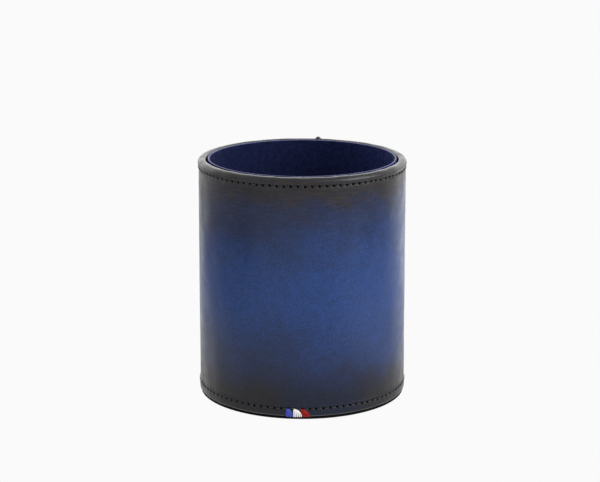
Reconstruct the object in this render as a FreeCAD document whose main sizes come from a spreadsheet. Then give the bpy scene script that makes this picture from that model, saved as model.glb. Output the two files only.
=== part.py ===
import FreeCAD, Part
import math
import os
import Sketcher

# Desk pen cup: a board tube and disc wrapped in one leather panel, lined with velvet on card, and closed
# underneath by a black leather disc. +Z is up, the cup rests on z = 0, its axis is the Z axis, and its front,
# which carries the coloured accent threads, faces -Y. Lengths are in millimetres and angles in degrees.

DIMENSIONS = {
    # whole cup
    "cup_height": 99.5,
    "body_radius": 43.0,
    # leather wrap, from its lower edge to the roll at the rim
    "leather_thick": 1.2,
    "rim_bulge": 0.35,
    "rim_round_outer": 1.9,
    "rim_round_inner": 1.2,
    "turn_in_thick": 0.6,
    "turn_in_depth": 15.0,
    "hem_flare": 0.45,
    "hem_height": 4.0,
    "flare_run": 0.9,
    "hem_edge_round": 0.35,
    # back seam
    "seam_azimuth": 80.3,
    "seam_gap": 0.3,
    "backing_width": 15.0,
    "backing_thick": 0.35,
    # rigid core
    "core_wall": 1.75,
    "rim_strip_height": 4.4,
    "floor_board": 2.65,
    # lining
    "mouth_gap": 0.15,
    "velvet_thick": 0.3,
    "lining_card_thick": 0.35,
    "velvet_turn_down": 9.0,
    "lining_drop": 0.55,
    "lining_edge_round": 0.28,
    "floor_card_thick": 1.0,
    "floor_gap": 0.1,
    # base cover
    "base_thick": 1.25,
    "base_edge_round": 0.3,
    # stitching
    "stitch_count": 95,
    "top_row_drop": 3.35,
    "bottom_row_height": 4.45,
    "stitch_length": 1.7,
    "stitch_radius": 0.25,
    "stitch_lean": 9.0,
    "channel_depth": 0.25,
    "channel_width": 1.1,
    "top_row_turn": 3.4,
    "seam_row_offset": 3.2,
    "seam_stitch_count": 29,
    # coloured accent threads over the hem
    "hole_width": 0.7,
    "thread_thick": 0.4,
    "thread_bottom": 1.15,
    "thread_clearance": 0.02,
}

doc = FreeCAD.newDocument("PenCup")
sizes = doc.addObject("Spreadsheet::Sheet", "Sizes")
for row, (alias, number) in enumerate(DIMENSIONS.items(), start=1):
    sizes.set(f"A{row}", alias)
    sizes.set(f"B{row}", str(number))
    sizes.setAlias(f"B{row}", alias)
doc.recompute()

# Radii from the outside in, as expressions on the sheet.
BODY = "Sizes.body_radius"
RIM = f"({BODY} + Sizes.rim_bulge)"
HEM = f"({BODY} + Sizes.hem_flare)"
CORE_OUT = f"({BODY} - Sizes.leather_thick)"
HEM_INSIDE = f"({CORE_OUT} + Sizes.hem_flare)"
BACKING_OUT = f"({CORE_OUT} + Sizes.backing_thick)"
CORE_IN = f"({CORE_OUT} - Sizes.core_wall)"
MOUTH = f"({CORE_IN} - Sizes.turn_in_thick)"
LINING_OUT = f"({MOUTH} - Sizes.mouth_gap)"
CARD_OUT = f"({LINING_OUT} - Sizes.velvet_thick)"
CARD_IN = f"({CARD_OUT} - Sizes.lining_card_thick)"
LINING_IN = f"({CARD_IN} - Sizes.velvet_thick)"
FLOOR_EDGE = f"({LINING_IN} - Sizes.floor_gap)"

# Heights from the table up.
BASE_TOP = "Sizes.base_thick"
HEM_TOP = f"({BASE_TOP} + Sizes.hem_height)"
FLARE_END = f"({HEM_TOP} + Sizes.flare_run)"
BOARD_TOP = f"({BASE_TOP} + Sizes.floor_board)"
FLOOR_CARD_TOP = f"({BOARD_TOP} + Sizes.floor_card_thick)"
RIM_TOP = "Sizes.cup_height"
STRIP_TOP = f"({RIM_TOP} - Sizes.leather_thick)"
CORE_TOP = f"({STRIP_TOP} - Sizes.rim_strip_height)"
TOP_ROW = f"({RIM_TOP} - Sizes.top_row_drop)"
BOTTOM_ROW = "Sizes.bottom_row_height"
TURN_IN_END = f"({RIM_TOP} - Sizes.turn_in_depth)"
LINING_TOP = f"({RIM_TOP} - Sizes.lining_drop)"
CARD_TOP = f"({LINING_TOP} - Sizes.velvet_thick)"
VELVET_END = f"({LINING_TOP} - Sizes.velvet_turn_down)"

# Spacings along the wall from one stitch to the next.
HEM_PITCH = f"(2 * pi * {HEM} / Sizes.stitch_count)"
SEAM_PITCH = f"(2 * pi * {BODY} / Sizes.stitch_count)"
SEAM_RUN = f"({SEAM_PITCH} * (Sizes.seam_stitch_count - 1))"

UP = FreeCAD.Vector(0, 0, 1)
ORIGIN = FreeCAD.Vector(0, 0, 0)


def value(expression):
    """What an expression on the sheet comes to, as a plain number."""
    return float(sizes.evalExpression(expression))


def turned(angle):
    """A placement turned about the cup's axis."""
    return FreeCAD.Placement(ORIGIN, FreeCAD.Rotation(UP, angle))


def on_wall(radius, azimuth, height):
    """A point at a radius, an azimuth from +X and a height."""
    angle = math.radians(azimuth)
    return FreeCAD.Vector(radius * math.cos(angle), radius * math.sin(angle), height)


def new_body(label):
    body = doc.addObject("PartDesign::Body", label)
    body.Label = label
    return body


def origin_feature(body, role):
    return next(feature for feature in body.Origin.OriginFeatures if feature.Role == role)


def close_outline(sketch, corners):
    """Draws a closed outline whose corners are pairs of expressions, and holds each corner to its pair."""
    places = [FreeCAD.Vector(value(across), value(up), 0) for across, up in corners]
    for index, place in enumerate(places):
        sketch.addGeometry(Part.LineSegment(place, places[(index + 1) % len(places)]))
    for index, (across, up) in enumerate(corners):
        following = (index + 1) % len(corners)
        sketch.addConstraint(Sketcher.Constraint("Coincident", index, 2, following, 1))
        for kind, expression in (("DistanceX", across), ("DistanceY", up)):
            held = sketch.addConstraint(Sketcher.Constraint(kind, -1, 1, index, 1, value(expression)))
            sketch.setExpression(f"Constraints[{held}]", expression)


def outline(body, name, corners, facing=0):
    """A closed outline in a plane through the cup's axis. Each corner is a radius and a height on the sheet.
    A facing of 180 puts the plane's radius on the far side of the axis."""
    sketch = body.newObject("Sketcher::SketchObject", name)
    sketch.AttachmentSupport = [(origin_feature(body, "XZ_Plane"), "")]
    sketch.MapMode = "FlatFace"
    sketch.AttachmentOffset = FreeCAD.Placement(ORIGIN, FreeCAD.Rotation(FreeCAD.Vector(0, 1, 0), facing))
    close_outline(sketch, corners)
    return sketch


def box_corners(inner, outer, low, high):
    """The corners of a rectangular section between two radii and two heights."""
    return [(inner, low), (outer, low), (outer, high), (inner, high)]


def turn(body, name, kind, sketch, angle="360"):
    """Turns a section about the cup's axis, half of the angle to each side of the section's plane."""
    feature = body.newObject(f"PartDesign::{kind}", name)
    feature.Profile = sketch
    feature.ReferenceAxis = (sketch, ["V_Axis"])
    feature.setExpression("Angle", angle)
    feature.Midplane = True
    sketch.Visibility = False
    doc.recompute()
    return feature


def circular_edges(shape, radius, height):
    """The names of a shape's round edges about the cup's axis at a radius and a height."""
    found = []
    for index, edge in enumerate(shape.Edges, start=1):
        curve = edge.Curve
        if isinstance(curve, Part.Circle) and abs(curve.Radius - radius) < 1e-4:
            if abs(curve.Center.z - height) < 1e-4:
                found.append(f"Edge{index}")
    return found


def round_edge(body, name, radius, height, rounding):
    """Rounds the edge that runs about the cup's axis at a radius and a height."""
    base = body.Tip
    fillet = body.newObject("PartDesign::Fillet", name)
    fillet.Base = (base, circular_edges(base.Shape, value(radius), value(height)))
    fillet.setExpression("Radius", rounding)
    doc.recompute()


def ring(label, inner, outer, low, high):
    """A plain ring, sawn or rolled to a rectangular section."""
    body = new_body(label)
    section = outline(body, f"{label}_section", box_corners(inner, outer, low, high))
    turn(body, f"{label}_turned", "Revolution", section)
    return body


def disc(label, radius, low, thickness):
    """A plain disc, cut from a sheet."""
    body = new_body(label)
    sketch = body.newObject("Sketcher::SketchObject", f"{label}_outline")
    sketch.AttachmentSupport = [(origin_feature(body, "XY_Plane"), "")]
    sketch.MapMode = "FlatFace"
    sketch.setExpression("AttachmentOffset.Base.z", low)
    sketch.addGeometry(Part.Circle(ORIGIN, UP, value(radius)))
    sketch.addConstraint(Sketcher.Constraint("Coincident", 0, 3, -1, 1))
    held = sketch.addConstraint(Sketcher.Constraint("Radius", 0, value(radius)))
    sketch.setExpression(f"Constraints[{held}]", radius)
    pad = body.newObject("PartDesign::Pad", f"{label}_pad")
    pad.Profile = sketch
    pad.setExpression("Length", thickness)
    doc.recompute()
    return body


def stitch(body, name, radius, azimuth, height, along):
    """One stitch: a short round bar lying on the leather, its middle at a radius, an azimuth and a height."""
    middle = on_wall(radius, azimuth, height)
    half = along.normalize() * (value("Sizes.stitch_length") / 2)
    bar = body.newObject("PartDesign::AdditiveCylinder", name)
    bar.setExpression("Radius", "Sizes.stitch_radius")
    bar.setExpression("Height", "Sizes.stitch_length")
    bar.AttachmentSupport = [(origin_feature(body, "XY_Plane"), "")]
    bar.MapMode = "FlatFace"
    bar.AttachmentOffset = FreeCAD.Placement(middle - half, FreeCAD.Rotation(UP, half))
    return bar


def stitch_row(label, wall, height, first_turn):
    """A row of stitches right round the cup, each lying in the wall's sewing channel and leaning a little.
    first_turn is the angle from the middle of the front to the middle of the first stitch."""
    body = new_body(label)
    body.AllowCompound = True
    radius = value(f"{wall} - Sizes.channel_depth + Sizes.stitch_radius + Sizes.thread_clearance")
    lean = math.radians(value("Sizes.stitch_lean"))
    along = FreeCAD.Vector(0, math.cos(lean), math.sin(lean))
    first = stitch(body, f"{label}_first", radius, 0, value(height), along)
    doc.recompute()
    row = body.newObject("PartDesign::PolarPattern", f"{label}_row")
    row.Originals = [first]
    row.Axis = (origin_feature(body, "Z_Axis"), [""])
    row.Angle = 360
    row.setExpression("Occurrences", "Sizes.stitch_count")
    body.Tip = row
    body.Placement = turned(value(first_turn) - 90)
    doc.recompute()
    return body


def outer_leather():
    """The wrap: one panel bent round until its ends meet at the back seam, flared over the hem strip at the
    bottom, and rolled over the rim and down inside the mouth at the top."""
    body = new_body("outer_leather")
    section = [
        (HEM_INSIDE, BASE_TOP),
        (HEM, BASE_TOP),
        (HEM, HEM_TOP),
        (BODY, FLARE_END),
        (BODY, TOP_ROW),
        (RIM, f"({TOP_ROW} + Sizes.channel_width / 2)"),
        (RIM, RIM_TOP),
        (MOUTH, RIM_TOP),
        (MOUTH, TURN_IN_END),
        (CORE_IN, TURN_IN_END),
        (CORE_IN, STRIP_TOP),
        (CORE_OUT, STRIP_TOP),
        (CORE_OUT, HEM_TOP),
        (HEM_INSIDE, HEM_TOP),
    ]
    sketch = outline(body, "leather_section", section)
    turn(body, "leather_wrap", "Revolution", sketch, f"360 - Sizes.seam_gap / {BODY} * 180 / pi")
    round_edge(body, "rim_outer_round", RIM, RIM_TOP, "Sizes.rim_round_outer")
    round_edge(body, "rim_inner_round", MOUTH, RIM_TOP, "Sizes.rim_round_inner")
    round_edge(body, "hem_edge_round", HEM, BASE_TOP, "Sizes.hem_edge_round")
    half = "Sizes.channel_width / 2"
    for name, wall, height in (("top_channel", BODY, TOP_ROW), ("bottom_channel", HEM, BOTTOM_ROW)):
        floor = f"{wall} - Sizes.channel_depth"
        cut = box_corners(floor, f"{wall} + 1", f"{height} - {half}", f"{height} + {half}")
        turn(body, name, "Groove", outline(body, f"{name}_section", cut))
    recess = box_corners(f"{CORE_OUT} - 1", BACKING_OUT, HEM_TOP, CORE_TOP)
    sketch = outline(body, "backing_recess_section", recess, facing=180)
    turn(body, "backing_recess", "Groove", sketch, f"Sizes.backing_width / {BODY} * 180 / pi")
    body.Placement = turned(value("Sizes.seam_azimuth") - 180)
    return body


def seam_backing():
    """The strip behind the back seam, which both ends of the wrap are glued and sewn to."""
    body = new_body("seam_backing")
    section = box_corners(CORE_OUT, BACKING_OUT, HEM_TOP, CORE_TOP)
    sketch = outline(body, "backing_section", section)
    turn(body, "backing_strip", "Revolution", sketch, f"Sizes.backing_width / {BODY} * 180 / pi")
    body.Placement = turned(value("Sizes.seam_azimuth"))
    return body


def seam_stitching():
    """Two rows of stitches up the back, one each side of the seam, resting on the leather."""
    body = new_body("seam_stitching")
    body.AllowCompound = True
    radius = value(f"{BODY} + Sizes.stitch_radius + Sizes.thread_clearance")
    aside = math.degrees(value(f"Sizes.seam_row_offset / {BODY}"))
    lowest = value(f"({FLARE_END} + {TOP_ROW} - {SEAM_RUN}) / 2")
    firsts = [
        stitch(body, f"seam_first_{side}", radius, angle, lowest, FreeCAD.Vector(0, 0, 1))
        for side, angle in (("left", aside), ("right", -aside))
    ]
    doc.recompute()
    row = body.newObject("PartDesign::LinearPattern", "seam_rows")
    row.Originals = firsts
    row.Direction = (origin_feature(body, "Z_Axis"), [""])
    row.setExpression("Length", SEAM_RUN)
    row.setExpression("Occurrences", "Sizes.seam_stitch_count")
    body.Tip = row
    body.Placement = turned(value("Sizes.seam_azimuth"))
    doc.recompute()
    return body


def lining_wall():
    """The velvet wall: one strip glued inside the card tube, over its top edge and down outside it a little."""
    body = new_body("lining_wall")
    section = [
        (LINING_IN, BOARD_TOP),
        (CARD_IN, BOARD_TOP),
        (CARD_IN, CARD_TOP),
        (CARD_OUT, CARD_TOP),
        (CARD_OUT, VELVET_END),
        (LINING_OUT, VELVET_END),
        (LINING_OUT, LINING_TOP),
        (LINING_IN, LINING_TOP),
    ]
    turn(body, "velvet_strip", "Revolution", outline(body, "velvet_section", section))
    for name, radius in (("velvet_inner_round", LINING_IN), ("velvet_outer_round", LINING_OUT)):
        round_edge(body, name, radius, LINING_TOP, "Sizes.lining_edge_round")
    return body


def base_cover():
    """The black leather disc glued under the core, with a softened lower edge."""
    body = disc("base_cover", BODY, "0", BASE_TOP)
    round_edge(body, "base_edge_round", BODY, "0", "Sizes.base_edge_round")
    return body


def accent_thread(label, holes_left, left, right):
    """One coloured whip-stitch: its strands fan out from one hole of the bottom row down over the hem's edge.
    holes_left counts the holes from the middle of the front, to the left. left and right are where the fan's
    foot ends, as distances along the wall from the middle of the front, to the right."""
    body = new_body(label)
    sketch = body.newObject("Sketcher::SketchObject", f"{label}_outline")
    sketch.AttachmentSupport = [(origin_feature(body, "YZ_Plane"), "")]
    sketch.MapMode = "FlatFace"
    sketch.setExpression("AttachmentOffset.Base.z", f"{HEM} + Sizes.thread_clearance")
    middle = (left + right) / 2
    hole = f"-{holes_left} * {HEM_PITCH} - ({middle})"
    corners = [
        (f"{left - middle}", "Sizes.thread_bottom"),
        (f"{right - middle}", "Sizes.thread_bottom"),
        (f"{hole} + Sizes.hole_width / 2", BOTTOM_ROW),
        (f"{hole} - Sizes.hole_width / 2", BOTTOM_ROW),
    ]
    close_outline(sketch, corners)
    pad = body.newObject("PartDesign::Pad", f"{label}_pad")
    pad.Profile = sketch
    pad.setExpression("Length", "Sizes.thread_thick")
    body.Placement = turned(math.degrees(middle / value(HEM)) - 90)
    doc.recompute()
    return body


subparts = [
    outer_leather(),
    ring("hem_strip", CORE_OUT, HEM_INSIDE, BASE_TOP, HEM_TOP),
    ring("rim_strip", CORE_IN, CORE_OUT, CORE_TOP, STRIP_TOP),
    seam_backing(),
    ring("core_tube", CORE_IN, CORE_OUT, BASE_TOP, CORE_TOP),
    disc("core_base", CORE_IN, BASE_TOP, "Sizes.floor_board"),
    base_cover(),
    ring("lining_card", CARD_IN, CARD_OUT, BOARD_TOP, CARD_TOP),
    lining_wall(),
    disc("floor_card", FLOOR_EDGE, BOARD_TOP, "Sizes.floor_card_thick"),
    disc("lining_floor", FLOOR_EDGE, FLOOR_CARD_TOP, "Sizes.velvet_thick"),
    stitch_row("top_stitching", BODY, TOP_ROW, "Sizes.top_row_turn"),
    stitch_row("bottom_stitching", HEM, BOTTOM_ROW, "180 / Sizes.stitch_count"),
    seam_stitching(),
    accent_thread("accent_thread_blue", 2, -6.6, -3.8),
    accent_thread("accent_thread_white", 1, -3.6, -0.1),
    accent_thread("accent_thread_red", 0, 0.1, 3.1),
]
doc.recompute()

for thing in doc.Objects:
    if "Invalid" in thing.State or "Error" in thing.State:
        raise RuntimeError(f"{thing.Name} failed: {thing.State}")
for subpart in subparts:
    if subpart.Shape.isNull() or not subpart.Shape.isValid() or subpart.Shape.Volume <= 0:
        raise RuntimeError(f"{subpart.Label} has no valid shape")

os.makedirs("parts", exist_ok=True)
for subpart in subparts:
    subpart.Shape.exportStep(f"parts/{subpart.Label}.step")
    print(subpart.Label, len(subpart.Shape.Solids), "solids", round(subpart.Shape.Volume, 1), "mm3")
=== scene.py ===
"""The looks of the desk pen cup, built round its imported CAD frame, in metres and radians."""

import math

import bmesh
import bpy
import numpy as np
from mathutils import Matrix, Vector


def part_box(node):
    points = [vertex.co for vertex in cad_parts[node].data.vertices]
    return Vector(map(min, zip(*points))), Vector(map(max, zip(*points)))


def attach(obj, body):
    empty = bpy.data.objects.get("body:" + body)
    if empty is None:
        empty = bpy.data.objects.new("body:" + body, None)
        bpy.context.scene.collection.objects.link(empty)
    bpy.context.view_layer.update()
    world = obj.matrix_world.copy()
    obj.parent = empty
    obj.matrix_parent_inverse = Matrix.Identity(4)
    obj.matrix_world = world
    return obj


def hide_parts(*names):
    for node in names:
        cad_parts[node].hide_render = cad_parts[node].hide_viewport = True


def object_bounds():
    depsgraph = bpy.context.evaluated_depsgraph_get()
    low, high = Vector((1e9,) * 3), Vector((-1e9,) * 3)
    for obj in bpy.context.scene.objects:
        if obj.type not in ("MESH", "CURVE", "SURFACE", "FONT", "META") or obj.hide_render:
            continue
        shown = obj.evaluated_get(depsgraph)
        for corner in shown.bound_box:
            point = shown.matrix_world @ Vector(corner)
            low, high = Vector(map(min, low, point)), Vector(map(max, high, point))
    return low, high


MM = 0.001
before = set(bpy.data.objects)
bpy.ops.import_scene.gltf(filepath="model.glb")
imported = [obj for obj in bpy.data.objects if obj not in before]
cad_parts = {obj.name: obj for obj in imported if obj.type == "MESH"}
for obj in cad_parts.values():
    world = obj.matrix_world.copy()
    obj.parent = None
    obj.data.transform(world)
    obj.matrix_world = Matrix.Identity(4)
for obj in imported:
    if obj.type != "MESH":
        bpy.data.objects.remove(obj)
cad_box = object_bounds()


# Places read from the frame

def span(node):
    """The least and greatest distance of a CAD node's points from the cup's axis."""
    points = np.array([vertex.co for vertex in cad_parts[node].data.vertices])
    away = np.hypot(points[:, 0], points[:, 1])
    return float(away.min()), float(away.max())


def heights(node):
    """The lowest and highest point of a CAD node."""
    low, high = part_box(node)
    return low.z, high.z


def azimuth_of(node):
    """The azimuth of the middle of a CAD node."""
    low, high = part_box(node)
    return math.atan2(low.y + high.y, low.x + high.x)


MOUTH, HEM = span("outer_leather")
BODY = span("base_cover")[1]
CORE_IN, CORE_OUT = span("core_tube")
HEM_IN = span("hem_strip")[1]
BACKING_OUT = span("seam_backing")[1]
LINING_IN, LINING_OUT = span("lining_wall")
CARD_IN, CARD_OUT = span("lining_card")
FLOOR_EDGE = span("lining_floor")[1]

BASE_TOP, TOP = heights("outer_leather")
HEM_TOP = heights("hem_strip")[1]
CORE_TOP, STRIP_TOP = heights("rim_strip")
TOP_ROW = sum(heights("top_stitching")) / 2
BOTTOM_ROW = sum(heights("bottom_stitching")) / 2
LINING_LOW, LINING_TOP = heights("lining_wall")
CARD_TOP = heights("lining_card")[1]
FLOOR_LOW, FLOOR_TOP = heights("lining_floor")
SEAM_LOW, SEAM_HIGH = heights("seam_stitching")
SEAM = azimuth_of("seam_backing")
FRONT = -math.pi / 2

# What the frame's boxes don't show, as the CAD has it
RIM = BODY + 0.35 * MM
FLARE_END = HEM_TOP + 0.9 * MM
TURN_IN_END = TOP - 15 * MM
VELVET_END = LINING_TOP - 9 * MM
RIM_ROUND_OUT = 1.9 * MM
RIM_ROUND_IN = 1.2 * MM
HEM_ROUND = 0.35 * MM
BACKING_HALF = 7.5 * MM
STITCHES = 95
PITCH = 2 * math.pi / STITCHES
TOP_ROW_TURN = math.radians(3.4)
BOTTOM_FIRST_HOLE = FRONT
TOP_FIRST_HOLE = FRONT + TOP_ROW_TURN - PITCH / 2
SEAM_ROW_OFFSET = 3.2 * MM
SEAM_STITCHES = 29
CAD_STITCH = 1.7 * MM


# Mesh tools

def smooth(value, start, end):
    """0 before start, 1 after end, and an even S between them."""
    share = np.clip((value - start) / (end - start), 0, 1)
    return share * share * (3 - 2 * share)


def ripples(angle, height, across, up, seed, waves=24):
    """Smooth random relief of about unit size. across and up are its shortest waves, in metres."""
    draw = np.random.default_rng(seed)
    total = 0
    for _ in range(waves):
        turns = draw.integers(0, max(2, int(2 * math.pi * BODY / across)))
        climb = draw.uniform(-1, 1) * 2 * math.pi / up
        total = total + np.sin(turns * angle + climb * height + draw.uniform(0, 2 * math.pi))
    return total / math.sqrt(waves / 2)


def at(radius, angle, height):
    """Points from their distance to the axis, azimuth and height."""
    radius, angle, height = np.broadcast_arrays(radius, angle, height)
    return np.stack([radius * np.cos(angle), radius * np.sin(angle), height], axis=-1)


SHARP = math.radians(50)


def piece(name, points, faces, replaces):
    """A finished mesh piece that rides on the cup and stands for CAD nodes."""
    mesh = bpy.data.meshes.new(name)
    mesh.from_pydata(np.reshape(points, (-1, 3)).tolist(), [], faces)
    mesh.validate()
    built = bmesh.new()
    built.from_mesh(mesh)
    bmesh.ops.triangulate(built, faces=[f for f in built.faces if len(f.verts) > 4])
    bmesh.ops.recalc_face_normals(built, faces=built.faces)
    built.to_mesh(mesh)
    built.free()
    mesh.shade_smooth()
    mesh.set_sharp_from_angle(angle=SHARP)
    made = bpy.data.objects.new(name, mesh)
    bpy.context.scene.collection.objects.link(made)
    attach(made, "root")
    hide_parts(*replaces)
    return made


def mark(made, name, values):
    """Writes one number per point of a piece, for its material to read."""
    layer = made.data.attributes.new(name, "FLOAT", "POINT")
    layer.data.foreach_set("value", np.asarray(values, dtype=np.float32).ravel())


def between(first, second):
    """Faces between two rows of points, each given as point numbers. One row may be twice as fine."""
    if len(first) == len(second):
        return [
            (first[i], first[i + 1], second[i + 1], second[i])
            for i in range(len(first) - 1)
        ]
    faces = []
    if len(first) < len(second):
        for i in range(len(first) - 1):
            left, middle, right = second[2 * i : 2 * i + 3]
            faces += [(first[i], first[i + 1], middle), (first[i], middle, left)]
            faces += [(first[i + 1], right, middle)]
        return faces
    for i in range(len(second) - 1):
        left, middle, right = first[2 * i : 2 * i + 3]
        faces += [(second[i + 1], second[i], middle), (second[i], left, middle)]
        faces += [(second[i + 1], middle, right)]
    return faces


# Outer leather: one panel whose ends meet at the back seam

# Columns of a coarse row, and how many of them draw closer at each side of the seam
COARSE = 380
SEAM_COLUMNS = 8

# The stitch holes, and the channel that a row is pulled into
HOLE_LONG = 0.62 * MM
HOLE_SHORT = 0.42 * MM
HOLE_SLANT = math.radians(34)
HOLE_DEPTH = 0.95 * MM
CHANNEL_DEPTH = 0.1 * MM
CHANNEL_HALF = 0.45 * MM
PUCKER = 0.09 * MM
SEWN_HALF = 4 * MM

# The finely divided band above and below a row of stitches, and where the coarse stretch of wall is
BAND = 0.78 * MM
PLAIN_LOW = FLARE_END + 2.1 * MM
PLAIN_HIGH = TOP_ROW - 3.4 * MM

# How the glued leather differs from its plain section
UNEVENNESS = 0.035 * MM
MOUTH_EASE = 0.26 * MM
FOOT_FULLNESS = 0.25 * MM
BACKING_ROOM = 1 * MM

# The back seam: the panel's ends are pressed closer than in the CAD, turn in where they meet, and stand up
# a little over the rim
SEAM_GAP = 0.06 * MM
SEAM_SINK = 0.38 * MM
SEAM_SINK_HALF = 0.32 * MM
# Half width of the painted dark line of shade along the seam.
SEAM_SHADE_HALF = 0.14 * MM
BUMP_SIDE = 0.45 * MM
BUMP_TOP = 1.2 * MM
BUMP_HALF = 0.95 * MM
# Half width of the painted shade round the seam's bump over the rim.
BUMP_SHADE_HALF = 0.8 * MM


def panel_angles(level):
    """The azimuths of a row of the panel, from one edge of the seam round to the other. They draw closer
    near the seam."""
    edge = SEAM_COLUMNS
    column = np.arange(COARSE * level + 1) / level
    inward = np.minimum(column, COARSE - column)
    eased = np.where(inward < edge, inward**2 / (2 * edge), inward - edge / 2)
    whole = 2 * math.pi - SEAM_GAP / BODY
    length = whole / (COARSE - edge)
    around = np.where(column <= COARSE / 2, eased * length, whole - eased * length)
    return SEAM - 2 * math.pi + SEAM_GAP / BODY / 2 + around


class Row:
    """A row of stitches: its height, the wall's radius there, its first hole's azimuth, and each hole's
    small error along and across the row."""

    def __init__(self, height, radius, first_hole, seed):
        draw = np.random.default_rng(seed)
        self.height = height
        self.radius = radius
        self.first_hole = first_hole
        self.along = 0.07 * MM * draw.standard_normal(STITCHES)
        self.across = 0.05 * MM * draw.standard_normal(STITCHES)

    def hole(self, number):
        """The azimuth and height of holes, by number."""
        turn = self.first_hole + number * PITCH + self.along[number % STITCHES] / self.radius
        return turn, self.height + self.across[number % STITCHES]


top_row = Row(TOP_ROW, BODY, TOP_FIRST_HOLE, seed=5)
bottom_row = Row(BOTTOM_ROW, HEM, BOTTOM_FIRST_HOLE, seed=6)


def punched(along, off):
    """How much of a point lies in a slanted hole, from 0 to 1, by its distances from the hole's middle."""
    lengthwise = along * math.cos(HOLE_SLANT) - off * math.sin(HOLE_SLANT)
    crosswise = along * math.sin(HOLE_SLANT) + off * math.cos(HOLE_SLANT)
    return 1 - smooth(np.hypot(lengthwise / HOLE_LONG, crosswise / HOLE_SHORT), 0.75, 1.12)


def sewn(angle, height, row):
    """How far a row of stitches pulls the leather in, and where its holes are: a shallow channel with a
    slanted hole at each stitch, and the leather a little puckered round each hole."""
    if abs(height - row.height) > SEWN_HALF:
        return np.zeros_like(angle), np.zeros_like(angle)
    number = np.round((angle - row.first_hole) / PITCH).astype(int)
    turn, level = row.hole(number)
    along = (angle - turn) * row.radius
    off = height - level
    hole = punched(along, off)
    dimple = PUCKER * np.exp(-((along / (0.8 * MM)) ** 2) - (off / (1.1 * MM)) ** 2)
    channel = CHANNEL_DEPTH * np.exp(-((off / CHANNEL_HALF) ** 2))
    return channel + HOLE_DEPTH * hole + dimple, hole


def seam_distance(angle):
    """How far along the wall a point is from the back seam."""
    return np.abs((angle - SEAM + math.pi) % (2 * math.pi) - math.pi) * BODY


def foot(height):
    """How much wider the wall stands towards the hem."""
    return FOOT_FULLNESS * np.clip((TOP_ROW - height) / (TOP_ROW - FLARE_END), 0, 1)


def wall(height):
    """The outer face's radius: flared over the hem strip, wider towards the hem, and fuller above the top
    row."""
    flared = 1 - smooth(height, BOTTOM_ROW + 0.5 * MM, FLARE_END + 0.2 * MM)
    flare = (HEM - BODY - FOOT_FULLNESS) * flared
    fullness = (RIM - BODY) * smooth(height, TOP_ROW - 0.2 * MM, TOP_ROW + 1.9 * MM)
    return BODY + foot(height) + flare + fullness


def leather_rows():
    """The panel's section, up the outside, over the rim and back inside, as rows of fineness, radius,
    height and kind. A row is seen, hidden inside the cup, or recessed behind the seam for its backing."""
    rows = []

    def face(level, low, high, count):
        for height in np.linspace(low, high, count):
            rows.append((level, float(wall(height)), float(height), "seen"))

    def arc(level, centre_r, centre_z, radius, start, end, count):
        for turn in np.linspace(start, end, count):
            place = (centre_r + radius * math.cos(turn), centre_z + radius * math.sin(turn))
            rows.append((level, *place, "seen"))

    quarter = math.pi / 2
    rows.append((1, HEM_IN, BASE_TOP, "hidden"))
    # each stretch by its fineness, where it starts and ends, and how many rows it has
    arc(2, HEM - HEM_ROUND, BASE_TOP + HEM_ROUND, HEM_ROUND, -quarter, 0, 4)
    face(2, BASE_TOP + HEM_ROUND + 0.35 * MM, BOTTOM_ROW - BAND - 0.25 * MM, 4)
    face(4, BOTTOM_ROW - BAND, BOTTOM_ROW + BAND, 12)
    face(2, BOTTOM_ROW + BAND + 0.2 * MM, FLARE_END + 1.2 * MM, 9)
    face(1, PLAIN_LOW, PLAIN_HIGH, 35)
    face(2, TOP_ROW - 2.6 * MM, TOP_ROW - BAND - 0.25 * MM, 6)
    face(4, TOP_ROW - BAND, TOP_ROW + BAND, 12)
    face(2, TOP_ROW + BAND + 0.2 * MM, TOP - RIM_ROUND_OUT - 0.25 * MM, 4)
    arc(2, RIM - RIM_ROUND_OUT, TOP - RIM_ROUND_OUT, RIM_ROUND_OUT, 0, quarter, 9)
    lip = MOUTH + MOUTH_EASE
    arc(2, lip + RIM_ROUND_IN, TOP - RIM_ROUND_IN, RIM_ROUND_IN, quarter, 2 * quarter, 7)
    rows.append((2, lip, TOP - 2 * MM, "seen"))
    rows.append((1, MOUTH, TOP - 4 * MM, "seen"))
    inside = [
        (MOUTH, TURN_IN_END, "hidden"),
        (CORE_IN, TURN_IN_END, "hidden"),
        (CORE_IN, STRIP_TOP, "hidden"),
        (CORE_OUT, STRIP_TOP, "hidden"),
        (CORE_OUT, CORE_TOP, "hidden"),
        (CORE_OUT, CORE_TOP, "recessed"),
        (CORE_OUT, HEM_TOP, "recessed"),
        (HEM_IN, HEM_TOP, "hidden"),
    ]
    rows += [(1, *corner) for corner in inside]
    return rows


def leather_rise(angle, height, outside):
    """How far the panel's face stands off its plain section, where it is punched, and where shade is
    painted near-black: in the holes, along the seam line and round the seam's bump over the rim.
    """
    aside = seam_distance(angle)
    rise = UNEVENNESS * ripples(angle, height, 9 * MM, 30 * MM, seed=3)
    hole = np.zeros_like(rise)
    if outside:
        for row in (top_row, bottom_row):
            pulled, punch = sewn(angle, height, row)
            rise = rise - pulled
            hole = np.maximum(hole, punch)
    rise = rise - SEAM_SINK * np.exp(-((aside / SEAM_SINK_HALF) ** 2))
    # Painted shade: a dark line along the seam.
    hole = np.maximum(hole, 0.8 * np.exp(-((aside / SEAM_SHADE_HALF) ** 2)))
    if height > TOP_ROW + BAND:
        bump = BUMP_SIDE + (BUMP_TOP - BUMP_SIDE) * smooth(height, TOP - 2 * MM, TOP - 0.3 * MM)
        rise = rise + bump * np.exp(-((aside / BUMP_HALF) ** 2))
        # Painted shade round the seam's bump.
        hole = np.maximum(hole, 0.75 * np.exp(-((aside / BUMP_SHADE_HALF) ** 2)))
    return rise, hole


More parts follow.
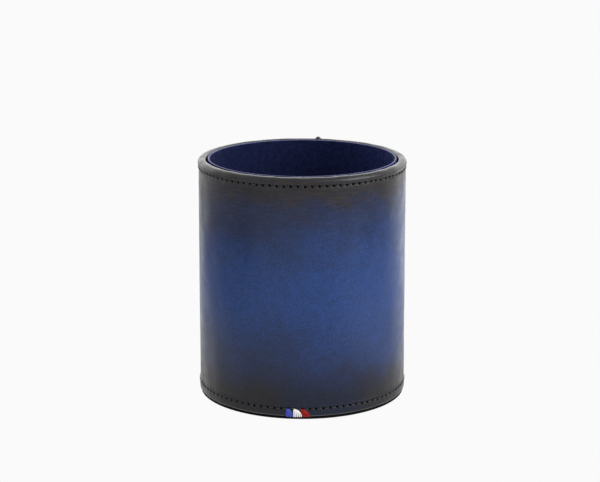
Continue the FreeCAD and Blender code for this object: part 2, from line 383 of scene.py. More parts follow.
def seam_levels():
    """The heights of the seam stitches' middles, and their pitch."""
    pitch = (SEAM_HIGH - SEAM_LOW - CAD_STITCH) / (SEAM_STITCHES - 1)
    return SEAM_LOW + CAD_STITCH / 2 + pitch * np.arange(SEAM_STITCHES), pitch


SEAM_BAND = 1.3 * MM
SEAM_CHANNEL_DEPTH = 0.06 * MM


def sew_seam(mesh):
    """Divides the panel finely along the two rows of seam stitches, then presses their channels and holes
    in."""
    built = bmesh.new()
    built.from_mesh(mesh)
    hole = built.verts.layers.float["hole"]
    levels, pitch = seam_levels()
    low, high = PLAIN_LOW - 0.1 * MM, PLAIN_HIGH + 0.1 * MM

    def in_patch(vertex):
        x, y, z = vertex.co
        if not low < z < high or math.hypot(x, y) < BODY - 0.5 * MM:
            return False
        aside = float(seam_distance(math.atan2(y, x)))
        return abs(aside - SEAM_ROW_OFFSET) < SEAM_BAND

    patch = [face for face in built.faces if all(in_patch(vertex) for vertex in face.verts)]
    for upright, cuts in ((True, 9), (False, 4)):
        edges = set()
        for face in patch:
            for edge in face.edges:
                first, second = edge.verts
                climb = abs(first.co.z - second.co.z)
                if (climb > 0.5 * edge.calc_length()) == upright:
                    edges.add(edge)
        bmesh.ops.subdivide_edges(built, edges=list(edges), cuts=cuts, use_grid_fill=True)
        patch = [face for face in built.faces if len(face.verts) == 4 and all(map(in_patch, face.verts))]
    for vertex in {vertex for face in patch for vertex in face.verts}:
        x, y, z = vertex.co
        angle = math.atan2(y, x)
        aside = float(seam_distance(angle)) - SEAM_ROW_OFFSET
        nearest = np.abs(z - levels[:, None] - np.array([-pitch / 2, pitch / 2])).min()
        punch = float(punched(aside, nearest)) if levels[0] - pitch < z < levels[-1] + pitch else 0.0
        rise = float(leather_rise(np.array([angle]), z, True)[0][0])
        rise -= SEAM_CHANNEL_DEPTH * math.exp(-((aside / CHANNEL_HALF) ** 2)) + HOLE_DEPTH * punch
        radius = float(wall(z)) + rise
        vertex.co = (radius * math.cos(angle), radius * math.sin(angle), z)
        # The holes are marked for the material's painted near-black shade.
        vertex[hole] = max(vertex[hole], punch)
    bmesh.ops.triangulate(built, faces=[face for face in built.faces if len(face.verts) > 4])
    built.to_mesh(mesh)
    built.free()


def outer_leather():
    """The panel: each row of its section laid round the cup, with its relief, and the two ends closed."""
    rows = leather_rows()
    radii = np.array([row[1] for row in rows])
    levels = np.array([row[2] for row in rows])
    along = np.stack([np.gradient(radii), np.gradient(levels)], axis=1)
    outward = np.stack([along[:, 1], -along[:, 0]], axis=1)
    outward /= np.maximum(np.linalg.norm(outward, axis=1, keepdims=True), 1e-9)
    points, numbers, holes = [], [], []
    count = 0
    for (level, radius, height, kind), (outward_r, outward_z) in zip(rows, outward):
        angle = panel_angles(level)
        hole = np.zeros_like(angle)
        if kind == "seen":
            rise, hole = leather_rise(angle, height, radius > CORE_OUT)
            shape = at(radius + rise * outward_r, angle, height + rise * outward_z)
        elif kind == "recessed":
            behind_seam = seam_distance(angle) < BACKING_HALF + BACKING_ROOM
            shape = at(np.where(behind_seam, BACKING_OUT, radius), angle, height)
        else:
            shape = at(radius, angle, height)
        numbers.append(list(range(count, count + len(angle))))
        count += len(angle)
        points.append(shape)
        holes.append(hole)
    faces = []
    for index, row in enumerate(numbers):
        faces += between(row, numbers[(index + 1) % len(numbers)])
    faces.append([row[0] for row in reversed(numbers)])
    faces.append([row[-1] for row in numbers])
    made = piece("outer_leather_panel", np.concatenate(points), faces, ["outer_leather"])
    # The hole mark carries the painted shade of the holes, the seam line and the seam's bump.
    mark(made, "hole", np.concatenate(holes))
    sew_seam(made.data)
    return made


# Threads

def plied_tubes(paths, across, radius, sides=10, plies=3, twist=1.6 * MM):
    """Twisted threads along paths, given as an array of threads by points. across is a direction that each
    thread's section is measured from, and twist the length of one full turn of its plies."""
    ahead = np.gradient(paths, axis=1)
    ahead /= np.linalg.norm(ahead, axis=2, keepdims=True)
    side = across - np.sum(across * ahead, axis=2, keepdims=True) * ahead
    side /= np.linalg.norm(side, axis=2, keepdims=True)
    up = np.cross(ahead, side)
    steps = np.linalg.norm(np.diff(paths, axis=1), axis=2)
    length = np.concatenate([np.zeros((len(paths), 1)), np.cumsum(steps, axis=1)], axis=1)
    around = np.arange(sides) * 2 * math.pi / sides
    phase = plies * (around[None, None, :] - length[:, :, None] * 2 * math.pi / twist)
    swell = radius * (1 + 0.13 * np.cos(phase))
    ring = np.cos(around)[None, None, :, None] * side[:, :, None, :]
    ring = ring + np.sin(around)[None, None, :, None] * up[:, :, None, :]
    points = paths[:, :, None, :] + swell[:, :, :, None] * ring
    faces = []
    threads, rings = paths.shape[:2]
    for thread in range(threads):
        first = thread * rings * sides
        for level in range(rings - 1):
            low = first + level * sides
            for i in range(sides):
                j = (i + 1) % sides
                faces.append((low + i, low + j, low + sides + j, low + sides + i))
        faces.append([first + i for i in reversed(range(sides))])
        faces.append([first + (rings - 1) * sides + i for i in range(sides)])
    # Where the painted shade goes: the turns between the plies, and each thread's two sides in the
    # direction of across.
    groove_shade = np.maximum(0.5 - 0.5 * np.cos(phase), np.abs(np.cos(around)) ** 5)
    return points.reshape(-1, 3), faces, groove_shade


def threads(name, paths, across, radius, slot, node, **ply):
    """A piece of twisted threads, with the places of its painted shade marked: the turns of its plies and
    its sides.
    """
    points, faces, groove_shade = plied_tubes(paths, across, radius, **ply)
    made = piece(name, points, faces, [node])
    mark(made, "groove_shade", groove_shade)
    return made


THREAD_RADIUS = 0.22 * MM
STITCH_HALF = 1.06 * MM
STITCH_FLAT = 0.55 * MM
STITCH_DIVE = 0.85 * MM
STITCH_LIFT = 0.03 * MM
STITCH_RISE = 0.13 * MM
SEAM_STITCH_LIFT = 0.05 * MM


def stitch_course(count=19):
    """One stitch, as distances along it and heights above the leather: flat on top, both ends in holes."""
    along = np.sin(np.linspace(-1, 1, count) * math.pi / 2) * STITCH_HALF
    lift = STITCH_LIFT - STITCH_DIVE * smooth(np.abs(along), STITCH_FLAT, STITCH_HALF) ** 1.5
    return along, lift


def stitch_row(name, node, row):
    """The stitches of a row. Each runs from one hole to the next and climbs a little on its way."""
    along, lift = stitch_course()
    number = np.arange(STITCHES)[:, None]
    from_turn, from_height = row.hole(number)
    to_turn, to_height = row.hole(number + 1)
    share = along / (PITCH * row.radius) + 0.5
    slope = STITCH_RISE * along / STITCH_HALF
    angle = from_turn + (to_turn - from_turn) * share
    height = from_height + (to_height - from_height) * share + slope
    paths = at(row.radius + lift, angle, height)
    upright = np.broadcast_to(np.array([0.0, 0.0, 1.0]), paths.shape)
    return threads(name, paths, upright, THREAD_RADIUS, "black_thread", node)


def seam_stitches():
    """The two upright rows beside the back seam."""
    along, lift = stitch_course()
    levels, pitch = seam_levels()
    reach = along / STITCH_HALF * pitch / 2
    paths = []
    for side in (-1, 1):
        for level in levels:
            angle = SEAM + side * SEAM_ROW_OFFSET / BODY
            paths.append(at(BODY + foot(level) + lift + SEAM_STITCH_LIFT, angle, level + reach))
    paths = np.array(paths)
    tangent = np.broadcast_to(np.array([-math.sin(SEAM), math.cos(SEAM), 0.0]), paths.shape)
    return threads("seam_stitches", paths, tangent, THREAD_RADIUS, "black_thread", "seam_stitching")


ACCENT_STRAND = 0.285 * MM
ACCENT_TWIST = 2.6 * MM
ACCENT_START_DROP = 0.3 * MM
ACCENT_END_DROP = 0.1 * MM
ACCENT_LIFT = 0.24 * MM
ACCENT_PILE = 0.16 * MM
ACCENT_DIVE = 0.75 * MM
ACCENT_TUCK = 0.45 * MM


def accent_stitch(colour, holes_left, left, right, strands=5):
    """One coloured whip-stitch: strands that fan out from a hole, down over the hem's edge and in under it.
    left and right are where the fan's foot ends, from the middle of the front, to the right."""
    name = f"accent_thread_{colour}"
    draw = np.random.default_rng(strands + holes_left)
    hole = -holes_left * PITCH * HEM
    feet = np.linspace(left + 0.28 * MM, right - 0.28 * MM, strands)
    start_height = BOTTOM_ROW - ACCENT_START_DROP
    end_height = BASE_TOP - ACCENT_END_DROP
    share = np.linspace(0, 1, 26)
    spread = 1 - (1 - share) ** 2.5
    height = start_height + (end_height - start_height) * share
    paths = []
    for number, end in enumerate(feet):
        start = hole + (number - (strands - 1) / 2) * 0.23 * MM
        across = start + (end - start) * spread
        pile = ACCENT_PILE * math.cos((number / (strands - 1) - 0.5) * math.pi) * (1 - share)
        lift = ACCENT_LIFT + pile - ACCENT_DIVE * (1 - smooth(share, 0, 0.12))
        lift = lift - ACCENT_TUCK * smooth(share, 0.86, 1.0) + 0.015 * MM * draw.standard_normal()
        paths.append(at(HEM + lift, FRONT + across / HEM, height))
    paths = np.array(paths)
    across = np.broadcast_to(np.array([1.0, 0.0, 0.0]), paths.shape)
    ply = {"sides": 12, "twist": ACCENT_TWIST}
    return threads(f"{name}_strands", paths, across, ACCENT_STRAND, f"{colour}_thread", name, **ply)


# Velvet lining and base

def turned(rows, columns):
    """A closed ring from a closed section whose rows are a radius and a height, or arrays of them."""
    angle = np.arange(columns) * 2 * math.pi / columns
    points = np.concatenate([at(radius, angle, height) for radius, height in rows])
    faces = []
    for index in range(len(rows)):
        low = index * columns
        high = (index + 1) % len(rows) * columns
        for i in range(columns):
            j = (i + 1) % columns
            faces.append((low + i, low + j, high + j, high + i))
    return points, faces


PILE_PROUD = 0.55 * MM
MOUTH_LEAN = 0.06 * MM
NAP = 0.02 * MM
NAP_WAVES = 0.05 * MM
LINING_SEAM = 0.2 * MM
LINING_SEAM_HALF = 0.4 * MM
FOLD_NAP = 0.015 * MM


def lining_wall():
    """The velvet strip: up inside the card, over its top edge and down outside it."""
    columns = 540
    angle = np.arange(columns) * 2 * math.pi / columns
    aside = seam_distance(angle)
    half = (LINING_OUT - LINING_IN) / 2
    draw = np.random.default_rng(11)
    rows = []

    def pile(radius, height, toward):
        """A row of the nap, uneven, and sunk a little where the strip's ends meet."""
        nap = NAP * draw.standard_normal(columns)
        nap = nap + NAP_WAVES * ripples(angle, height, 6 * MM, 12 * MM, seed=21)
        nap = nap - LINING_SEAM * np.exp(-((aside / LINING_SEAM_HALF) ** 2))
        return radius + nap * toward, height

    top = LINING_TOP + PILE_PROUD

    def lean(height):
        """How far the lining leans in from the mouth near its top."""
        return MOUTH_LEAN * smooth(height, LINING_TOP - 6 * MM, LINING_TOP)

    for height in np.linspace(top - half, LINING_LOW, 90):
        rows.append(pile(LINING_IN - 0.5 * lean(height), height, -1))
    rows.append((CARD_IN, LINING_LOW))
    rows.append((CARD_IN, CARD_TOP))
    rows.append((CARD_OUT, CARD_TOP))
    rows.append((CARD_OUT, VELVET_END))
    for height in np.linspace(VELVET_END, top - half, 12):
        rows.append((LINING_OUT - lean(height), height))
    outer, inner = LINING_OUT - lean(top), LINING_IN - 0.5 * lean(top)
    for turn in np.linspace(0, math.pi, 12)[1:-1]:
        radius = (inner + outer) / 2 + (outer - inner) / 2 * math.cos(turn)
        rise = FOLD_NAP * draw.standard_normal(columns)
        rows.append((radius, top - half + half * math.sin(turn) + rise))
    points, faces = turned(rows, columns)
    made = piece("velvet_wall", points, faces, ["lining_wall"])
    return made


def disc(name, node, slot, radius, low, high, edge_round, relief, rings=40, columns=240):
    """A flat round piece with softened edges. relief gives its top face's rise from radius and azimuth."""
    angle = np.arange(columns) * 2 * math.pi / columns
    rows = []
    for share in np.linspace(0.02, 1, rings):
        away = share * (radius - edge_round)
        rows.append((away, high + relief(away, angle)))
    for turn in np.linspace(0, math.pi / 2, 5)[1:]:
        rise = relief(radius, angle) * math.cos(turn)
        down = edge_round * (1 - math.cos(turn))
        rows.append((radius - edge_round * (1 - math.sin(turn)), high - down + rise))
    for turn in np.linspace(0, math.pi / 2, 5):
        up = edge_round * (1 - math.sin(turn))
        rows.append((radius - edge_round * (1 - math.cos(turn)), low + up))
    for share in np.linspace(1, 0.02, rings)[1:]:
        rows.append((share * (radius - edge_round), low))
    points, faces = turned(rows, columns)
    faces = faces[: (len(rows) - 1) * columns]
    faces.append(list(range(columns)))
    faces.append(list(range(len(points) - columns, len(points))))
    return piece(name, points, faces, [node])


DISC_ROUND = 0.12 * MM


def lining_floor():
    """The velvet floor, laid on its card."""
    draw = np.random.default_rng(31)

    def nap(radius, angle):
        rise = 0.03 * MM * draw.standard_normal(len(angle))
        return rise - 0.04 * MM + 0.06 * MM * ripples(angle, radius, 14 * MM, 10 * MM, seed=41)

    level = (FLOOR_LOW, FLOOR_TOP)
    made = disc("velvet_floor", "lining_floor", "velvet", FLOOR_EDGE, *level, DISC_ROUND, nap)
    return made


def base_disc():
    """The leather disc under the cup, flat on both faces."""

    def flat(radius, angle):
        return np.zeros(len(angle))

    return disc("base_disc", "base_cover", "base_leather", BODY, 0, BASE_TOP, DISC_ROUND, flat)


# Materials

class Paint:
    """A material's nodes, added one by one."""

    def __init__(self, name):
        self.material = bpy.data.materials.new(name)
        self.material.use_nodes = True
        self.tree = self.material.node_tree
        self.surface = self.tree.nodes["Principled BSDF"]
        self.place = self.add("ShaderNodeTexCoord").outputs["Object"]

    def give(self, socket, value):
        if isinstance(value, bpy.types.NodeSocket):
            self.tree.links.new(value, socket)
        else:
            socket.default_value = value

    def add(self, kind, inputs=None, **settings):
        node = self.tree.nodes.new(kind)
        for key, value in settings.items():
            setattr(node, key, value)
        for key, value in (inputs or {}).items():
            self.give(node.inputs[key], value)
        return node

    def set(self, **inputs):
        for key, value in inputs.items():
            self.give(self.surface.inputs[key.replace("_", " ")], value)

    def stretched(self, scale):
        return self.add("ShaderNodeMapping", {"Vector": self.place, "Scale": scale}).outputs["Vector"]

    def noise(self, size, detail=3, roughness=0.5, stretch=None, distortion=0.0):
        """Soft noise from 0 to 1 whose features are about size metres across."""
        place = self.stretched(stretch) if stretch else self.place
        inputs = {"Vector": place, "Scale": 1 / size, "Detail": detail, "Roughness": roughness}
        inputs["Distortion"] = distortion
        return self.add("ShaderNodeTexNoise", inputs).outputs["Fac"]

    def cells(self, size):
        """Distance to the nearest of scattered points about size metres apart."""
        inputs = {"Vector": self.place, "Scale": 1 / size}
        return self.add("ShaderNodeTexVoronoi", inputs).outputs["Distance"]

    def math(self, operation, first, second=0.0):
        node = self.add("ShaderNodeMath", operation=operation)
        self.give(node.inputs[0], first)
        self.give(node.inputs[1], second)
        return node.outputs[0]

    def remap(self, value, low, high, to_low=0.0, to_high=1.0):
        inputs = {"Value": value, "From Min": low, "From Max": high, "To Min": to_low, "To Max": to_high}
        return self.add("ShaderNodeMapRange", inputs, interpolation_type="SMOOTHSTEP").outputs["Result"]

    def blend(self, factor, first, second):
        node = self.add("ShaderNodeMix", data_type="RGBA")
        self.give(node.inputs[0], factor)
        self.give(node.inputs[6], first)
        self.give(node.inputs[7], second)
        return node.outputs[2]

    def tinted(self, colour, shade):
        """A colour made lighter or darker."""
        inputs = {0: 1.0, 6: colour, 7: shade}
        return self.add("ShaderNodeMix", inputs, data_type="RGBA", blend_type="MULTIPLY").outputs[2]

    def marked(self, name):
        """What mark() wrote on the mesh."""
        return self.add("ShaderNodeAttribute", attribute_name=name).outputs["Fac"]

    def ramp(self, value, stops):
        """Colours along a value, from pairs of place and colour."""
        node = self.add("ShaderNodeValToRGB", {"Fac": value})
        node.color_ramp.interpolation = "B_SPLINE"
        while len(node.color_ramp.elements) < len(stops):
            node.color_ramp.elements.new(0.5)
        for element, (place, colour) in zip(node.color_ramp.elements, stops):
            element.position = place
            element.color = colour
        return node.outputs["Color"]

    def relief(self, height, depth, under=None):
        """A bump whose full height is depth metres."""
        inputs = {"Height": height, "Distance": depth, "Strength": 1.0}
        if under is not None:
            inputs["Normal"] = under
        return self.add("ShaderNodeBump", inputs).outputs["Normal"]

    def axes(self):
        return self.add("ShaderNodeSeparateXYZ", {"Vector": self.place}).outputs


def rgb(red, green, blue):
    return (red, green, blue, 1.0)


def patinated_calf():
    """Smooth calf, hand coloured: blue in the middle and burnished towards the rim and the hem. The dark
    reaches further on the left and keeps some blue at the front of the hem, and there are brown patches and
    strokes round the cup below the rim. A lighter grey band along the hem's lowest edge, with more gloss,
    is a painted highlight. The holes, the seam line and the patch round the seam's bump over the rim are
    painted near-black as shade, without gloss, and the gloss falls off towards the hem as painted shade."""
    paint = Paint("patinated_calf")
    x, _, z = paint.axes()
    char = rgb(0.0093, 0.0088, 0.0115)
    ink = rgb(0.005, 0.011, 0.042)
    deep = rgb(0.0052, 0.0212, 0.086)
    blue = rgb(0.0066, 0.031, 0.131)
    dark_blue = rgb(0.0022, 0.0068, 0.0225)
    umber = rgb(0.02, 0.0118, 0.0092)
    # Painted highlight: a lighter grey for the hem's rounded lowest edge, where it would catch the light.
    painted_edge_highlight = rgb(0.056, 0.056, 0.058)
    unlit = rgb(0.0006, 0.0006, 0.0006)
    middle = paint.math("SUBTRACT", paint.math("DIVIDE", z, TOP), 0.5)
    narrowing = paint.math("SUBTRACT", 1.0, paint.math("MULTIPLY", x, 0.24 / BODY))
    clouds = paint.math("SUBTRACT", paint.noise(19 * MM, detail=4, stretch=(1, 1, 1.25)), 0.5)
    wisps = paint.math("SUBTRACT", paint.noise(6 * MM, detail=6, roughness=0.6, stretch=(1, 1, 1.3)), 0.5)
    height = paint.math("ADD", paint.math("MULTIPLY", middle, narrowing), 0.5)
    height = paint.math("ADD", height, paint.math("MULTIPLY", clouds, 0.22))
    height = paint.math("ADD", height, paint.math("MULTIPLY", wisps, 0.12))
    stops = [(0.02, ink), (0.19, ink), (0.31, deep), (0.45, blue)]
    stops += [(0.6, blue), (0.72, deep), (0.82, ink), (0.98, ink)]
    colour = paint.ramp(height, stops)
    level = paint.math("ADD", z, paint.math("MULTIPLY", clouds, 14 * MM))
    level = paint.math("ADD", level, paint.math("MULTIPLY", wisps, 6 * MM))
    burnt = paint.math("ADD", paint.remap(level, 84 * MM, 96 * MM), paint.remap(level, 23 * MM, 7 * MM))
    front = paint.math("MULTIPLY", paint.remap(x, -16 * MM, -1 * MM), paint.remap(x, 31 * MM, 17 * MM))
    dusk = paint.math("MULTIPLY", paint.math("MULTIPLY", front, 0.75), paint.remap(z, 40 * MM, 20 * MM))
    colour = paint.blend(burnt, colour, paint.blend(dusk, char, dark_blue))
    brown = paint.remap(paint.noise(9 * MM, detail=5, stretch=(1, 1, 2.5)), 0.44, 0.7, 0.0, 0.6)
    brown = paint.math("MULTIPLY", brown, paint.remap(z, TOP - 22 * MM, TOP - 6 * MM))
    colour = paint.blend(brown, colour, umber)
    mottle = paint.remap(paint.noise(2.6 * MM, detail=4, roughness=0.6), 0.3, 0.7, 0.88, 1.1)
    speckle = paint.remap(paint.noise(0.5 * MM, detail=2, roughness=0.6), 0.3, 0.7, 0.66, 1.36)
    strokes = paint.remap(paint.noise(5 * MM, detail=4, stretch=(1, 1, 6)), 0.35, 0.65, -0.1, 0.1)
    strokes = paint.math("MULTIPLY", strokes, paint.remap(z, TOP - 28 * MM, TOP - 10 * MM))
    strokes = paint.math("ADD", strokes, 1.0)
    shade = paint.math("MULTIPLY", paint.math("MULTIPLY", mottle, speckle), strokes)
    colour = paint.tinted(colour, shade)
    # The band of the painted edge highlight along the hem's lowest edge.
    edge = paint.remap(z, BASE_TOP + 0.45 * MM, BASE_TOP + 0.25 * MM)
    colour = paint.blend(edge, colour, painted_edge_highlight)
    # Painted shade: the stitch holes, the seam line and the patch round the seam's bump go near-black.
    colour = paint.blend(paint.marked("hole"), colour, unlit)
    pores = paint.cells(0.5 * MM)
    grain = paint.noise(0.2 * MM, detail=4, roughness=0.6)
    drawn = paint.noise(1.2 * MM, detail=3, stretch=(1, 1, 0.07))
    normal = paint.relief(paint.noise(4 * MM, detail=3), 0.05 * MM)
    normal = paint.relief(drawn, 0.008 * MM, normal)
    normal = paint.relief(pores, 0.012 * MM, normal)
    normal = paint.relief(grain, 0.010 * MM, normal)
    polish = paint.remap(paint.noise(7 * MM, detail=6, roughness=0.6), 0.3, 0.7, 0.29, 0.42)
    # Gloss falls off towards the hem: painted shade, for the cup's shadow on the floor that the lower wall
    # mirrors. The painted edge highlight gets more gloss, and the painted hole shade none.
    gloss = paint.remap(z, 3 * MM, 26 * MM, 0.32, 0.46)
    gloss = paint.math("ADD", paint.math("MULTIPLY", gloss, strokes), paint.math("MULTIPLY", edge, 0.7))
    gloss = paint.math("MULTIPLY", gloss, paint.math("SUBTRACT", 1.0, paint.marked("hole")))
    paint.set(Base_Color=colour, Roughness=polish, IOR=1.38, Specular_IOR_Level=gloss, Normal=normal)
    paint.set(Coat_Weight=0.1, Coat_Roughness=0.18, Coat_IOR=1.45, Coat_Normal=normal)
    return paint.material


def velvet():
    """Short-pile navy velvet, made lighter on the right as painted light. Where it turns over the card's
    edge its crest has a painted highlight in colour and sheen, which stops short of the side in the gap."""
    paint = Paint("navy_velvet")
    hollow, raised = rgb(0.004, 0.0065, 0.03), rgb(0.0085, 0.0125, 0.052)
    # The painted highlight colour of the fold's crest.
    fold_highlight_colour = rgb(0.13, 0.134, 0.215)
    brushed = paint.noise(1.6 * MM, detail=6, roughness=0.65)
    tufts = paint.noise(0.4 * MM, detail=3, roughness=0.7)
    mix = paint.remap(brushed, 0.3, 0.7)
    colour = paint.blend(mix, hollow, raised)
    x, y, z = paint.axes()
    # Painted light: up to twice as light towards the right side of the lining.
    colour = paint.tinted(colour, paint.remap(x, 8 * MM, LINING_IN, 1.0, 2.0))
    squares = paint.math("ADD", paint.math("MULTIPLY", x, x), paint.math("MULTIPLY", y, y))
    away = paint.math("SQRT", squares)
    # The painted highlight covers the fold's crest, in colour and sheen, and stops short of its side in the
    # gap.
    inward = paint.remap(away, LINING_OUT - 0.2 * MM, LINING_OUT - 0.35 * MM)
    fold_highlight_mask = paint.math("MULTIPLY", paint.remap(z, LINING_TOP + 0.24 * MM, LINING_TOP + 0.42 * MM), inward)
    colour = paint.blend(fold_highlight_mask, colour, fold_highlight_colour)
    normal = paint.relief(brushed, 0.12 * MM)
    normal = paint.relief(tufts, 0.09 * MM, normal)
    sheen = paint.remap(brushed, 0.3, 0.7, 0.05, 0.13)
    sheen = paint.math("ADD", sheen, paint.math("MULTIPLY", fold_highlight_mask, 0.6))
    paint.set(Base_Color=colour, Roughness=0.95, Specular_IOR_Level=0.1, Normal=normal)
    paint.set(Sheen_Weight=sheen, Sheen_Roughness=0.3, Sheen_Tint=rgb(0.5, 0.56, 0.92))
    return paint.material


def thread(name, colour, shade, gloss=0.5):
    """Waxed thread with fine fibres, painted from its colour to a shade colour in the turns of its plies
    and along its sides.
    """
    paint = Paint(name)
    fibres = paint.noise(0.12 * MM, detail=3, stretch=(1, 1, 0.5))
    mottle = paint.remap(fibres, 0.3, 0.7, 0.6, 1.0)
    # Painted shade in the marked ply turns and sides.
    lit = paint.math("MULTIPLY", mottle, paint.remap(paint.marked("groove_shade"), 0.25, 1.0, 1.0, 0.0))
    paint.set(Base_Color=paint.blend(lit, shade, colour), Roughness=0.5, IOR=1.45, Specular_IOR_Level=gloss)
    paint.set(Normal=paint.relief(fibres, 0.015 * MM))
    paint.set(Sheen_Weight=0.1, Sheen_Roughness=0.4, Sheen_Tint=colour)
    return paint.material


def black_leather(name, base, depth, gloss=0.5):
    """Plain black leather with a fine pebble."""
    paint = Paint(name)
    pebble = paint.cells(0.5 * MM)
    fibres = paint.noise(0.15 * MM, detail=4, roughness=0.65)
    mottle = paint.remap(paint.noise(4 * MM, detail=4), 0.3, 0.7, 0.75, 1.2)
    colour = paint.tinted(base, mottle)
    normal = paint.relief(fibres, depth / 2, paint.relief(pebble, depth))
    paint.set(Base_Color=colour, Roughness=0.7, Specular_IOR_Level=gloss, IOR=1.4, Normal=normal)
    return paint.material


def board(name, light, dark, layer):
    """Paper board: pressed fibres in thin layers that show on its cut edges."""
    paint = Paint(name)
    fibres = paint.noise(0.9 * MM, detail=6, roughness=0.7, distortion=0.6)
    layers = paint.noise(layer, detail=1, stretch=(0.05, 0.05, 1))
    mix = paint.math("MULTIPLY", paint.remap(fibres, 0.25, 0.75), paint.remap(layers, 0.2, 0.8, 0.6, 1.0))
    paint.set(Base_Color=paint.blend(mix, dark, light), Roughness=0.85)
    paint.set(Normal=paint.relief(fibres, 0.03 * MM))
    return paint.material


def cover(obj, material):
    """Puts one material on every slot of an object."""
    if not obj.material_slots:
        obj.data.materials.append(material)
    for place in obj.material_slots:
        place.material = material


# The pieces, with their materials

cover(outer_leather(), patinated_calf())
# Black thread: its colour and its painted shade colour.
black = thread("waxed_black_thread", rgb(0.024, 0.0232, 0.0235), rgb(0.009, 0.0088, 0.009))
cover(stitch_row("top_stitches", "top_stitching", top_row), black)
cover(stitch_row("bottom_stitches", "bottom_stitching", bottom_row), black)
cover(seam_stitches(), black)

# Each accent: its hole, the ends of its fan's foot, its colour and its painted shade colour.
accents = {
    "blue": (2, -6.6 * MM, -3.8 * MM, rgb(0.085, 0.13, 0.62), rgb(0.008, 0.014, 0.12)),
    "white": (1, -3.6 * MM, -0.1 * MM, rgb(0.9, 0.885, 0.87), rgb(0.6, 0.59, 0.575)),
    "red": (0, 0.1 * MM, 3.1 * MM, rgb(0.42, 0.009, 0.009), rgb(0.11, 0.003, 0.003)),
}
for colour, (holes_left, left, right, light, shade) in accents.items():
    waxed = thread(f"waxed_{colour}_thread", light, shade, gloss=0.2)
    cover(accent_stitch(colour, holes_left, left, right), waxed)

navy = velvet()
cover(lining_wall(), navy)
cover(lining_floor(), navy)
# The base leather is nearly black and almost without gloss: partly its own black, partly painted shade for
# the shade that falls on it at the floor.
cover(base_disc(), black_leather("base_leather", rgb(0.003, 0.003, 0.0035), 0.02 * MM, gloss=0.06))

hidden = black_leather("hidden_leather", rgb(0.03, 0.028, 0.03), 0.015 * MM)
greyboard = board("solid_board", rgb(0.34, 0.30, 0.24), rgb(0.2, 0.17, 0.13), 0.25 * MM)
card = board("lining_card", rgb(0.45, 0.42, 0.36), rgb(0.3, 0.28, 0.24), 0.12 * MM)
for node, material in (
    ("hem_strip", hidden),
    ("rim_strip", hidden),
    ("seam_backing", hidden),
    ("core_tube", greyboard),
    ("core_base", greyboard),
    ("lining_card", card),
    ("floor_card", card),
):
    cover(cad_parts[node], material)


# Studio: a pale floor, an even pale surround, a soft key from the right, cards that the sides of the cup
# mirror, and the camera

FLOOR_HALF = 30.0
FLOOR_LIGHT = 0.956
SURROUND = 0.95
BACK_GLOW = 1.1


def glow(name, strength):
    paint = Paint(name)
    lamp = paint.add("ShaderNodeEmission", {"Color": rgb(1, 1, 1), "Strength": strength})
    paint.tree.links.new(lamp.outputs[0], paint.tree.nodes["Material Output"].inputs["Surface"])
    return paint.material


def studio_floor():
    mesh = bpy.data.meshes.new("studio_floor")
    corners = [(FLOOR_HALF * x, FLOOR_HALF * y, 0) for x, y in ((-1, -1), (1, -1), (1, 1), (-1, 1))]
    mesh.from_pydata(corners, [], [(0, 1, 2, 3)])
    floor = bpy.data.objects.new("studio_floor", mesh)
    bpy.context.scene.collection.objects.link(floor)
    cover(floor, glow("pale_floor", FLOOR_LIGHT))


def studio_light():
    """An even surround, brighter low down at the back, where the rim's top mirrors it."""
    world = bpy.data.worlds.new("studio")
    bpy.context.scene.world = world
    world.use_nodes = True
    tree = world.node_tree
    way = tree.nodes.new("ShaderNodeTexCoord")
    axes = tree.nodes.new("ShaderNodeSeparateXYZ")
    behind = tree.nodes.new("ShaderNodeMapRange")
    above = tree.nodes.new("ShaderNodeMapRange")
    for node, low, high, start, end in (
        (behind, 0.1, 0.8, 0.0, BACK_GLOW),
        (above, 0.35, 0.8, 1.0, 0.0),
    ):
        node.interpolation_type = "SMOOTHSTEP"
        node.inputs["From Min"].default_value = low
        node.inputs["From Max"].default_value = high
        node.inputs["To Min"].default_value = start
        node.inputs["To Max"].default_value = end
    product = tree.nodes.new("ShaderNodeMath")
    product.operation = "MULTIPLY_ADD"
    product.inputs[2].default_value = SURROUND
    tree.links.new(way.outputs["Generated"], axes.inputs[0])
    tree.links.new(axes.outputs["Y"], behind.inputs["Value"])
    tree.links.new(axes.outputs["Z"], above.inputs["Value"])
    tree.links.new(behind.outputs[0], product.inputs[0])
    tree.links.new(above.outputs[0], product.inputs[1])
    tree.links.new(product.outputs[0], tree.nodes["Background"].inputs["Strength"])
    tree.nodes["Background"].inputs["Color"].default_value = rgb(1, 1, 1)


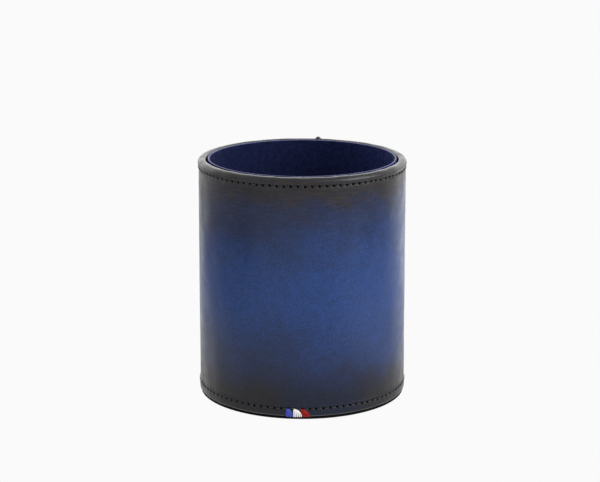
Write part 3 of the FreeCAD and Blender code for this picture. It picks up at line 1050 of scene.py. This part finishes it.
def studio_card(name, first, second, strength):
    """A card between two corners, darker or brighter than the floor round it. Only the cup mirrors it."""
    mesh = bpy.data.meshes.new(name)
    (x, y, z), (far_x, far_y, far_z) = first, second
    corners = [(x, y, z), (far_x, y, far_z), (far_x, far_y, far_z), (x, far_y, z)]
    mesh.from_pydata(corners, [], [(0, 1, 2, 3)])
    card = bpy.data.objects.new(name, mesh)
    bpy.context.scene.collection.objects.link(card)
    cover(card, glow(name, strength))
    card.visible_camera = False


def softbox(name, place, size, strength):
    """A square lamp that faces the middle of the cup."""
    light = bpy.data.lights.new(name, "AREA")
    light.shape = "SQUARE"
    light.size = size
    light.energy = strength
    lamp = bpy.data.objects.new(name, light)
    lamp.location = place
    toward = (cad_box[0] + cad_box[1]) / 2 - lamp.location
    lamp.rotation_euler = toward.to_track_quat("-Z", "Y").to_euler()
    bpy.context.scene.collection.objects.link(lamp)


CAMERA_PLACE = (-0.875 * MM, -737 * MM, 247.35 * MM)
CAMERA_TILT = math.radians(-14)
FOCAL_LENGTH = 108.66
SENSOR_WIDTH = 36


def camera():
    lens = bpy.data.cameras.new("camera")
    lens.lens = FOCAL_LENGTH
    lens.sensor_width = SENSOR_WIDTH
    lens.clip_start = 0.01
    lens.clip_end = 100
    held = bpy.data.objects.new("camera", lens)
    held.location = CAMERA_PLACE
    held.rotation_euler = (math.pi / 2 + CAMERA_TILT, 0, 0)
    bpy.context.scene.collection.objects.link(held)
    bpy.context.scene.camera = held


studio_floor()
studio_light()
studio_card("left_card", (-0.27, -0.2, 0.001), (-0.27, 0.14, 0.03), 0.25)
studio_card("left_floor_card", (-0.36, -0.2, 0.001), (-0.16, 0.18, 0.001), 0.45)
studio_card("right_floor_card", (0.24, -0.22, 0.001), (0.46, 0.12, 0.001), 0.5)
studio_card("right_near_card", (0.09, -0.15, 0.001), (0.2, -0.03, 0.001), 1.4)
studio_card("back_floor_card", (0.13, 0.125, 0.001), (0.42, 0.5, 0.001), 1.45)
softbox("key", (0.75, -0.35, 0.46), 0.6, 6.5)
camera()
bpy.context.scene.view_settings.view_transform = "Standard"
